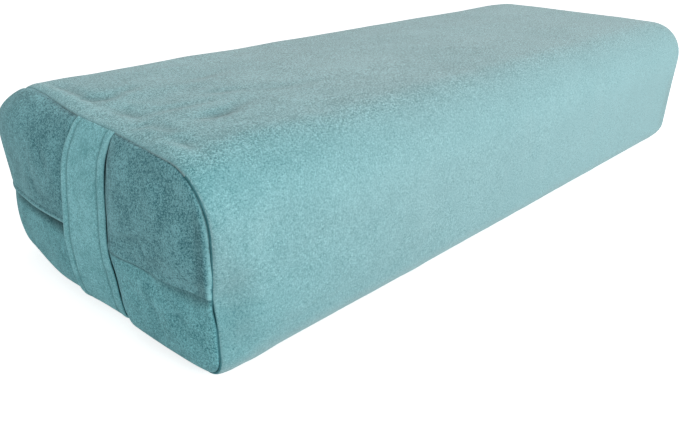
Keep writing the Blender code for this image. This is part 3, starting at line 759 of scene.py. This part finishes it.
def lower_shade(y, z, rim, below):
    """The lower panel's painted shade, darkest under the placket, and below 0, its painted highlight along
    the rolled rim.
    """
    depth = table(y, (-139, -123, -107, -90, -75, -60, 10, 18, 35, 60, 139),
                  (4.0, 9.0, 6.5, 3.0, 1.6, 1.4, 7.0, 12.0, 9.0, 7.5, 6.0))
    strength = np.interp(y, (-0.139, -0.123, -0.107, -0.09, -0.075, -0.06, -0.036, 0.015, 0.06, 0.139),
                         (0.55, 0.6, 0.5, 0.35, 0.65, 0.8, 0.7, 1.0, 1.0, 1.0))
    # painted shade under the placket
    under = strength * np.clip(1.3 - below / depth, 0.0, 1.0)
    seam = rim_shade(rim, 0.8 * seam_depth(y, z))
    # painted highlight along the rolled rim
    pale = 0.5 * turned_rim(y, z) * bump(rim, 1.5 * MM, 0.9 * MM)
    return marked(np.maximum.reduce([seam, behind_strap(y), under]), pale)


def tongue_rows(edge, y, step):
    """Rows that lead the lower panel's upper edge on behind the placket."""
    inner = ease((0.122 - np.abs(y)) / 0.01)
    behind = np.maximum(3.2 * MM - step, 0.0)
    rows = []
    for rise, share in TONGUE:
        row = edge.copy()
        row[:, 2] += rise * MM * (0.15 + 0.85 * inner)
        row[:, 0] += behind * share + 0.15 * MM * rise
        rows.append(row)
    return np.stack(rows)


def build_lower_end(plane, columns):
    """The lower half of the handle end, with the tongue that runs up behind the placket."""
    rows = list(RIM_STEPS) + list(np.arange(1, NEAR_LOW - 1, 0.5)) + [NEAR_LOW - r for r in LOWER_ROWS]
    lower = between(plane, rows, columns)
    y, z = lower[..., 0], lower[..., 1]
    rim = rim_distance(lower, (0,))
    below = LAP_HEIGHT - z
    fade = table(y, (-120, -30, 10, 60, 139), (6.0, 10.0, 9.0, 8.0, 7.0))
    step = lap_step(y)
    out = near_out(y, z) + seam_roll(rim, seam_depth(y, z), turned_rim(y, z))
    out = under_strap(out - step * ease(1.0 - below / fade), y, z)
    points = stand_out(lower, out, -1, rim, NEAR_STUFFING, END_CREASES)
    sag = 2.2 * MM * ease(1.0 - z / 0.028) * ease(out / 0.006)
    sag = sag * ease((y + 0.05) / 0.03) * ease((0.10 - y) / 0.04)
    points[..., 2] = np.maximum(points[..., 2] - sag, 0.6 * MM)
    points[..., 2] += lap_rise(y) * np.maximum(1.0 - below / 0.03, 0.0)
    tongue = tongue_rows(points[-1], y[-1], step[-1])
    # the tongue behind the placket: painted in full shade, and outside the seam strip
    hidden = np.ones(tongue.shape[:2])
    closed = np.vstack([lower_shade(y, z, rim, below), hidden])
    return panel("cover_end_lower", np.vstack([points, tongue]), closed, np.vstack([rim, hidden]))


# The strap

STRAP_CLOTH = 1.8 * MM

# The topstitching: its line's distance from the strap's edge, and its stitches
STITCH_IN = 0.0075
STITCH_PITCH = 3.4 * MM
STITCH_LENGTH = 2.6 * MM
STITCH_START_SHARE = 0.12
THREAD_RADIUS = 0.3 * MM
THREAD_ARCH = 0.12 * MM

# The strap's columns, in mm from its middle, close together at its rolled edges and stitched lines
STRAP_EDGE = (-25.0, -24.9, -24.5, -23.7, -22.4, -20.0, -18.6, -17.9, -17.5, -17.1, -16.4, -15.0, -12.0,
              -8.0, -4.0)
STRAP_COLUMNS = np.array(STRAP_EDGE + (0.0,) + tuple(-d for d in STRAP_EDGE[::-1])) * MM

# The strap's outer face beside each edge, as (out, z) in mm from the top seam down to the floor seam
STRAP_RIGHT = ((0, 146.2), (3.4, 143.6), (6, 137.8), (8, 131.4), (10, 122.2), (11.6, 112), (13, 101.6),
               (14.2, 90.9), (15.5, 80), (16.6, 70), (17, 62), (16.5, 54), (15.2, 43.6), (14.1, 31.3),
               (13.1, 20.5), (11.8, 11), (10.0, 5.4), (6.4, 3.0), (0, 2.6))
STRAP_LEFT = ((0, 146.2), (4.4, 143.2), (7.8, 138), (11, 132.3), (14, 126.5), (17, 117.5), (19, 109.5),
              (20.8, 99), (22.3, 87.8), (23.8, 76.4), (24.9, 68), (25.5, 58), (25.2, 46.5), (24.6, 35),
              (22.9, 22.6), (20.6, 13.2), (17.2, 6.4), (11.2, 3.2), (0, 2.6))


def strap_side(points):
    """One side's face as an even, smoothed line."""
    reach, width = 24, 10.0
    line = resample(np.array(points, float) * MM, 481)
    weights = np.exp(-(np.arange(-reach, reach + 1) / width) ** 2)
    weights = weights / weights.sum()
    before = 2 * line[:1] - line[reach:0:-1]
    after = 2 * line[-1:] - line[-2:-reach - 2:-1]
    padded = np.vstack([before, line, after])
    return resample(np.column_stack([np.convolve(padded[:, i], weights, "valid") for i in (0, 1)]), 97)


def strap_grid():
    """The strap's outer face, rows from the top seam down, with rolled edges and sunk stitching lines."""
    right, left = strap_side(STRAP_RIGHT), strap_side(STRAP_LEFT)
    lines = []
    for dy in STRAP_COLUMNS:
        share = (dy + STRAP_HALF) / (2 * STRAP_HALF)
        out, z = (right * (1 - share) + left * share).T
        side = abs(dy)
        roll = np.interp(side, (0.0224, 0.0237, 0.0245, 0.0249, 0.025), (0.0, 0.12, 0.45, 0.8, 1.3)) * MM
        groove = 0.4 * MM * math.exp(-((side - (STRAP_HALF - STITCH_IN)) / 0.0008) ** 2)
        pad = 0.35 * MM * math.exp(-((side - 0.0218) / 0.0022) ** 2)
        x = -(HALF_LENGTH + out - roll - groove + pad)
        lines.append(np.column_stack([x, np.full(len(z), STRAP_Y + dy), z]))
    grid = np.array(lines).transpose(1, 0, 2)
    flat = grid.reshape(-1, 3)
    flat[:, 0] -= wobble(flat, 0.5 * MM, 0.022, 9)
    flat[:, 1] += wobble(flat * (0, 0, 1), 1.6 * MM, 0.05, 11)
    flat[:, 0] += seam_wave(flat[:, 1], flat[:, 2])[0]
    return flat.reshape(grid.shape)


def build_strap(grid):
    """The strap's cloth, with painted shade in its stitched lines and painted highlights along its rolled
    edges and at one top corner.
    """
    made = grid_object("strap", grid)
    side = np.abs(STRAP_COLUMNS)
    # painted shade in the stitched lines, painted highlight along the rolled edges
    line = 0.38 * bump(side, STRAP_HALF - STITCH_IN, 1.1 * MM) - 0.55 * bump(side, 24.3 * MM, 1.0 * MM)
    # painted highlight at the top corner on the -Y side
    corner = bump(grid[..., 2], 0.139, 0.009) * bump(STRAP_COLUMNS, -24.0 * MM, 1.5 * MM)
    shade(made, line - 0.6 * corner)
    thicken(made, STRAP_CLOTH)
    return made


def build_stitches(grid):
    """Topstitching: short sunk threads along both lines of the strap."""
    bm = bmesh.new()
    for side in (-1, 1):
        column = int(np.argmin(np.abs(STRAP_COLUMNS - side * (STRAP_HALF - STITCH_IN))))
        path = grid[:, column]
        along = np.concatenate([[0.0], np.cumsum(np.linalg.norm(np.diff(path, axis=0), axis=1))])
        for i in range(int(along[-1] / STITCH_PITCH)):
            start = (i + STITCH_START_SHARE) * STITCH_PITCH
            ends = [Vector([np.interp(at, along, path[:, c]) for c in range(3)])
                    for at in (start, start + STITCH_LENGTH)]
            add_thread(bm, *ends)
    mesh = bpy.data.meshes.new("strap_stitches")
    bm.to_mesh(mesh)
    bm.free()
    mesh.shade_smooth()
    return link("strap_stitches", mesh)


def add_thread(bm, a, b):
    """One stitch: a small six-sided spindle with closed ends."""
    axis = (b - a).normalized()
    side = axis.cross(Vector((0.0, 1.0, 0.0))).normalized()
    other = axis.cross(side)
    turns = [math.pi / 3 * i for i in range(6)]
    rings = []
    for t, r in ((0.0, 0.35), (0.2, 0.9), (0.5, 1.0), (0.8, 0.9), (1.0, 0.35)):
        centre = a.lerp(b, t) + Vector((-THREAD_ARCH * math.sin(math.pi * t), 0.0, 0.0))
        rings.append([bm.verts.new(centre + THREAD_RADIUS * r * (side * math.cos(q) + other * math.sin(q)))
                      for q in turns])
    for first, second in zip(rings, rings[1:]):
        for i in range(6):
            j = (i + 1) % 6
            bm.faces.new((first[i], first[j], second[j], second[i]))
    bm.faces.new(rings[0][::-1])
    bm.faces.new(rings[-1])


# Materials

def nodes_of(name):
    """A new material, its node tree and its shader."""
    made = bpy.data.materials.new(name)
    made.use_nodes = True
    tree = made.node_tree
    return made, tree, tree.nodes["Principled BSDF"]


def dial(node, **values):
    """Set a node's inputs by name, with _ for a space."""
    for name, value in values.items():
        node.inputs[name.replace("_", " ")].default_value = value


def object_place(tree):
    """The place of a point on its object."""
    return tree.nodes.new("ShaderNodeTexCoord").outputs["Object"]


def noise_node(tree, coord, scale, detail=2.0, rough=0.5, distortion=0.0, stretch=None):
    """A noise, by choice stretched along an axis."""
    if stretch:
        mapping = tree.nodes.new("ShaderNodeMapping")
        dial(mapping, Scale=stretch)
        tree.links.new(coord, mapping.inputs["Vector"])
        coord = mapping.outputs["Vector"]
    node = tree.nodes.new("ShaderNodeTexNoise")
    dial(node, Scale=scale, Detail=detail, Roughness=rough, Distortion=distortion)
    tree.links.new(coord, node.inputs["Vector"])
    return node.outputs["Fac"]


def maths(tree, operation, a, b, clamp=False):
    """One sum on values or sockets."""
    node = tree.nodes.new("ShaderNodeMath")
    node.operation = operation
    node.use_clamp = clamp
    for i, value in enumerate((a, b)):
        if isinstance(value, (int, float)):
            node.inputs[i].default_value = value
        else:
            tree.links.new(value, node.inputs[i])
    return node.outputs[0]


def centred(tree, value, gain):
    """A noise value about zero, times a gain."""
    return maths(tree, "MULTIPLY", maths(tree, "SUBTRACT", value, 0.5), gain)


def scaled(tree, value, gain, base, clamp=False):
    """A value times a gain, plus a base."""
    return maths(tree, "ADD", maths(tree, "MULTIPLY", value, gain), base, clamp=clamp)


def axes_of(tree, vector):
    """The components of a vector, by name."""
    node = tree.nodes.new("ShaderNodeSeparateXYZ")
    tree.links.new(vector, node.inputs[0])
    return node.outputs


def mixed(tree, share, first, second):
    """A mix of two colours, of which the first may be a socket."""
    mix = tree.nodes.new("ShaderNodeMix")
    mix.data_type = "RGBA"
    tree.links.new(share, mix.inputs["Factor"])
    if isinstance(first, tuple):
        mix.inputs["A"].default_value = (*first, 1.0)
    else:
        tree.links.new(first, mix.inputs["A"])
    mix.inputs["B"].default_value = (*second, 1.0)
    return mix.outputs["Result"]


def colour_by(tree, shader, share, dark, light):
    """The base colour, between a dark and a light one."""
    tree.links.new(mixed(tree, share, dark, light), shader.inputs["Base Color"])


# The painted shade's colour and the painted highlight's colour, each with its gain on the closed value
PAINTED_SHADE_AND_HIGHLIGHT = ((0.92, (0.004, 0.050, 0.060)), (-0.75, (0.34, 0.72, 0.76)))


def paint_shade_and_highlight(tree, shader):
    """Painted shade and highlight: darken the colour by the closed attribute, and lighten it where that is
    below 0.
    """
    layer = tree.nodes.new("ShaderNodeAttribute")
    layer.attribute_name = "closed"
    colour = shader.inputs["Base Color"].links[0].from_socket
    for gain, nap in PAINTED_SHADE_AND_HIGHLIGHT:
        share = maths(tree, "MULTIPLY", layer.outputs["Fac"], gain, clamp=True)
        colour = mixed(tree, share, colour, nap)
    tree.links.new(colour, shader.inputs["Base Color"])


def relief(tree, shader, height, distance, strength=1.0):
    """Fine relief from a height."""
    node = tree.nodes.new("ShaderNodeBump")
    dial(node, Strength=strength, Distance=distance)
    tree.links.new(height, node.inputs["Height"])
    tree.links.new(node.outputs["Normal"], shader.inputs["Normal"])


# The nap's noises: scale, detail, roughness, distortion and stretch
NAP_FINE = (1500.0, 1.0, 0.6)
NAP_SPECKS = (680.0, 1.5, 0.6)
NAP_SOFT = (95.0, 3.0, 0.6, 1.0)
NAP_BRUSHED = (34.0, 3.0, 0.55, 0.8, (1.0, 1.5, 1.2))
NAP_BROAD = (8.0, 2.0, 0.5)

# The nap's roughness, its sheen's roughness and tint, and the depth and strength of its relief
NAP_ROUGHNESS = 0.92
SHEEN_ROUGHNESS = 0.65
SHEEN_TINT = (0.94, 1.0, 1.0, 1.0)
NAP_RELIEF, NAP_RELIEF_STRENGTH = 0.9 * MM, 0.42


def enrich(tree, shader, place, facing, rich):
    """Painted light: deepen the colour on the top and low on the sides, towards the handle end, standing in
    for weaker sheen there.
    """
    near = scaled(tree, place["X"], -5.0, -0.8, clamp=True)
    low = scaled(tree, place["Z"], -9.0, 1.0, clamp=True)
    level = maths(tree, "ADD", maths(tree, "ADD", facing["Z"], 0.2), low, clamp=True)
    near = maths(tree, "MULTIPLY", near, level)
    deeper = tree.nodes.new("ShaderNodeHueSaturation")
    tree.links.new(shader.inputs["Base Color"].links[0].from_socket, deeper.inputs["Color"])
    tree.links.new(scaled(tree, near, rich, 1.0), deeper.inputs["Saturation"])
    tree.links.new(deeper.outputs["Color"], shader.inputs["Base Color"])


def suede(name, dark, light, sheen, grain=1.0, marks=1.0, rich=0.0, specular=0.12):
    """Brushed nap: fine grain, specks, and soft marks where a hand has moved the pile."""
    made, tree, shader = nodes_of(name)
    coord = object_place(tree)
    fine, specks, nap, brushed, broad = (
        noise_node(tree, coord, *layer)
        for layer in (NAP_FINE, NAP_SPECKS, NAP_SOFT, NAP_BRUSHED, NAP_BROAD))
    place = axes_of(tree, coord)
    facing = axes_of(tree, tree.nodes.new("ShaderNodeTexCoord").outputs["Normal"])
    toward_handle_end = scaled(tree, scaled(tree, place["X"], -1.9, 0.35, clamp=True), 0.7, 0.3)
    soft = maths(tree, "ADD", centred(tree, nap, 0.75 * marks), centred(tree, brushed, 0.85 * marks))
    total = maths(tree, "MULTIPLY", soft, toward_handle_end)
    for value, gain in ((fine, 1.1 * grain), (specks, 0.8 * grain), (broad, 0.3)):
        total = maths(tree, "ADD", total, centred(tree, value, gain))
    level = maths(tree, "POWER", maths(tree, "MAXIMUM", facing["Z"], 0.0), 10.0)
    total = maths(tree, "MULTIPLY", total, scaled(tree, level, 1.6, 0.50))
    colour_by(tree, shader, maths(tree, "ADD", total, 0.5, clamp=True), dark, light)
    # painted light and shade: the deeper colour, then the painted shade and highlight
    if rich:
        enrich(tree, shader, place, facing, rich)
    paint_shade_and_highlight(tree, shader)
    dial(shader, Roughness=NAP_ROUGHNESS, Specular_IOR_Level=specular, Sheen_Weight=sheen,
         Sheen_Roughness=SHEEN_ROUGHNESS, Sheen_Tint=SHEEN_TINT)
    height = scaled(tree, fine, 0.6, maths(tree, "MULTIPLY", specks, 0.5))
    height = maths(tree, "ADD", height, maths(tree, "MULTIPLY", nap, 1.2))
    relief(tree, shader, height, NAP_RELIEF, NAP_RELIEF_STRENGTH)
    return made


def wave_node(tree, coord, direction, scale, distortion=0.0):
    """Even bands across one axis."""
    wave = tree.nodes.new("ShaderNodeTexWave")
    wave.bands_direction = direction
    dial(wave, Scale=scale, Distortion=distortion)
    tree.links.new(coord, wave.inputs["Vector"])
    return wave.outputs["Fac"]


def woven(name, dark, light, scale):
    """A plain weave: two crossed waves, with uneven yarn."""
    made, tree, shader = nodes_of(name)
    coord = object_place(tree)
    weave = maths(tree, "MULTIPLY", *(wave_node(tree, coord, axis, scale, 0.6) for axis in "XZ"))
    slub = centred(tree, noise_node(tree, coord, 120.0), 0.5)
    colour_by(tree, shader, maths(tree, "ADD", weave, slub, clamp=True), dark, light)
    dial(shader, Roughness=0.8)
    relief(tree, shader, weave, 0.3 * MM, 0.5)
    return made


def fibre(name, dark, light, scale, depth):
    """Loose fibre or open foam: tangled noise."""
    made, tree, shader = nodes_of(name)
    strands = noise_node(tree, object_place(tree), scale, 4.0, 0.7, 1.5)
    colour_by(tree, shader, strands, dark, light)
    dial(shader, Roughness=0.95)
    relief(tree, shader, strands, depth)
    return made


def plated(name):
    """Brushed plating, a little worn."""
    made, tree, shader = nodes_of(name)
    coord = object_place(tree)
    brushed = noise_node(tree, coord, 400.0, 2.0, 0.5, 0.0, (1.0, 0.08, 1.0))
    worn = noise_node(tree, coord, 900.0)
    dial(shader, Metallic=1.0)
    colour_by(tree, shader, worn, (0.50, 0.50, 0.49), (0.70, 0.70, 0.68))
    tree.links.new(scaled(tree, brushed, 0.2, 0.25), shader.inputs["Roughness"])
    relief(tree, shader, brushed, 0.05 * MM)
    return made


def coil_finish(name):
    """Dyed nylon coil, its turns as bands."""
    made, tree, shader = nodes_of(name)
    turns = wave_node(tree, object_place(tree), "Y", 230.0)
    colour_by(tree, shader, turns, (0.03, 0.07, 0.08), (0.12, 0.25, 0.27))
    dial(shader, Roughness=0.4)
    relief(tree, shader, turns, 0.4 * MM)
    return made


def finish_with(made, material):
    """Give a piece its material."""
    made.data.materials.append(material)


# The object

# the wrap's cloth, with painted deeper colour towards the handle end
SUEDE = suede("suede", (0.083, 0.253, 0.280), (0.410, 0.706, 0.740), 0.46, 2.5, 0.55, rich=0.26)
# the end panels' cloth, darker and with less sheen than the wrap: partly its own nap, partly painted shade of
# ends that face away from the key light
SUEDE_END = suede("suede_end", (0.018, 0.155, 0.186), (0.228, 0.548, 0.598), 0.22, 5.1, 2.5)
# painted light: a lighter copy of the end's cloth on the lower panel, standing in for light bounced from the
# floor, with calmer grain
SUEDE_LOW_PAINTED_LIGHT = suede("suede_end_low_painted_light", (0.024, 0.200, 0.235), (0.250, 0.640, 0.690), 0.22, 4.2, 1.8)
SUEDE_STRAP = suede("suede_strap", (0.088, 0.355, 0.392), (0.330, 0.750, 0.805), 0.22, 4.0, 1.8)
# painted shade: the end's cloth without sheen or specular, for the strip along the seams
SUEDE_SEAM_SHADE = suede("suede_seam_shade", (0.018, 0.155, 0.186), (0.228, 0.548, 0.598), 0.0, specular=0.0)
THREAD = woven("thread", (0.14, 0.42, 0.45), (0.24, 0.58, 0.62), 900.0)

SETTLED = None
SETTLED = settle()
near_plane, near_columns = near_grid()
upper_end = build_upper_end(near_plane, near_columns)
lower_end = build_lower_end(near_plane, near_columns)
for piece, node, own in ((build_wrap(), "cover_wrap", SUEDE),
                         (build_far_end(), "end_panel_far", SUEDE_END),
                         (upper_end, "end_panel_near_upper", SUEDE_END),
                         (lower_end, "end_panel_near_lower", SUEDE_LOW_PAINTED_LIGHT)):
    finish_with(piece, own)
    # second slot: the seams' painted shade
    piece.data.materials.append(SUEDE_SEAM_SHADE)
    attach(piece, "bolster")
    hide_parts(node)

grid = strap_grid()
strap, stitches = build_strap(grid), build_stitches(grid)
finish_with(strap, SUEDE_STRAP)
finish_with(stitches, THREAD)
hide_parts("handle_strap", "handle_end_top", "handle_end_bottom")
for piece in (strap, stitches):
    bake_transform(piece)

# The finish of the nodes that keep their solids, by how their names start
FINISHES = {
    "liner_": woven("liner_cotton", (0.56, 0.53, 0.46), (0.80, 0.77, 0.70), 600.0),
    "wadding_": fibre("wadding_fibre", (0.66, 0.66, 0.64), (0.90, 0.90, 0.88), 140.0, 2.0 * MM),
    "foam_": fibre("foam_cells", (0.62, 0.57, 0.42), (0.86, 0.81, 0.64), 420.0, 0.6 * MM),
    "zip_tape": woven("zip_tape", (0.05, 0.12, 0.13), (0.15, 0.29, 0.31), 1100.0),
    "zip_coil": coil_finish("zip_coil"),
    "zip_": plated("zip_metal"),
}
for name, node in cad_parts.items():
    for key, material in FINISHES.items():
        if name.startswith(key):
            node.data.materials.clear()
            node.data.materials.append(material)
            break


# Stage, light and camera

# The floor's half size, its place below the object, its colour, and the glow that only the camera sees
FLOOR_SIZE = 6.0
FLOOR_DROP = 0.2 * MM
FLOOR_GREY = (0.80, 0.80, 0.80, 1.0)
FLOOR_GLOW = 0.75

# The world's light on the object, and what the camera and reflections see beyond it
WORLD_LIGHT, WORLD_SEEN = 0.35, 0.65
WHITE = (1.0, 1.0, 1.0, 1.0)

# Each light: name, place, target, size and power
LIGHTS = (
    ("key", (0.45, -2.4, 1.0), (0.0, 0.0, 0.07), (1.8, 1.2), 43.0),
    ("top", (0.3, 0.2, 2.4), (0.0, 0.0, 0.1), (2.0, 2.0), 8.0),
    ("fill", (-2.3, 0.6, 0.35), (-0.3, 0.0, 0.07), (1.2, 0.8), 8.4),
)


def build_floor():
    """A plain pale floor."""
    mesh = bpy.data.meshes.new("floor")
    s = FLOOR_SIZE
    mesh.from_pydata([(-s, -s, 0), (s, -s, 0), (s, s, 0), (-s, s, 0)], [], [(0, 1, 2, 3)])
    floor = link("floor", mesh)
    floor.location.z = -FLOOR_DROP
    made, tree, shader = nodes_of("floor")
    dial(shader, Base_Color=FLOOR_GREY, Roughness=1.0, Specular_IOR_Level=0.0, Emission_Color=WHITE)
    seen = tree.nodes.new("ShaderNodeLightPath").outputs["Is Camera Ray"]
    tree.links.new(maths(tree, "MULTIPLY", seen, FLOOR_GLOW), shader.inputs["Emission Strength"])
    floor.data.materials.append(made)


def build_world():
    """A plain white studio all round."""
    world = bpy.data.worlds.new("studio")
    bpy.context.scene.world = world
    world.use_nodes = True
    tree = world.node_tree
    back = tree.nodes["Background"]
    dial(back, Color=WHITE)
    path = tree.nodes.new("ShaderNodeLightPath")
    seen = maths(tree, "ADD", path.outputs["Is Camera Ray"], path.outputs["Is Glossy Ray"], clamp=True)
    seen = maths(tree, "ADD", seen, path.outputs["Is Transmission Ray"], clamp=True)
    tree.links.new(scaled(tree, seen, WORLD_SEEN, WORLD_LIGHT), back.inputs["Strength"])


def area_light(name, place, target, size, power):
    """A soft light, aimed at its target."""
    data = bpy.data.lights.new(name, "AREA")
    data.shape = "RECTANGLE"
    data.size, data.size_y = size
    data.energy = power
    light = link(name, data)
    light.location = place
    light.rotation_euler = (Vector(target) - Vector(place)).to_track_quat("-Z", "Y").to_euler()


def build_camera():
    """The photograph's camera."""
    data = bpy.data.cameras.new("camera")
    data.sensor_fit = "HORIZONTAL"
    data.sensor_width = 36.0
    data.lens = CAMERA_FOCAL_PX * data.sensor_width / IMAGE_WIDTH
    data.clip_start = 0.01
    camera = link("camera", data)
    level = math.cos(CAMERA_PITCH)
    forward = Vector((math.cos(CAMERA_YAW) * level, math.sin(CAMERA_YAW) * level, -math.sin(CAMERA_PITCH)))
    right = forward.cross(Vector((0.0, 0.0, 1.0))).normalized()
    up = right.cross(forward)
    c, s = math.cos(CAMERA_ROLL), math.sin(CAMERA_ROLL)
    axes = Matrix((right * c + up * s, up * c - right * s, -forward)).transposed()
    camera.matrix_world = Matrix.Translation(CAMERA_PLACE) @ axes.to_4x4()
    bpy.context.scene.camera = camera


build_floor()
build_world()
for light in LIGHTS:
    area_light(*light)
build_camera()
bpy.context.scene.view_settings.view_transform = "Standard"
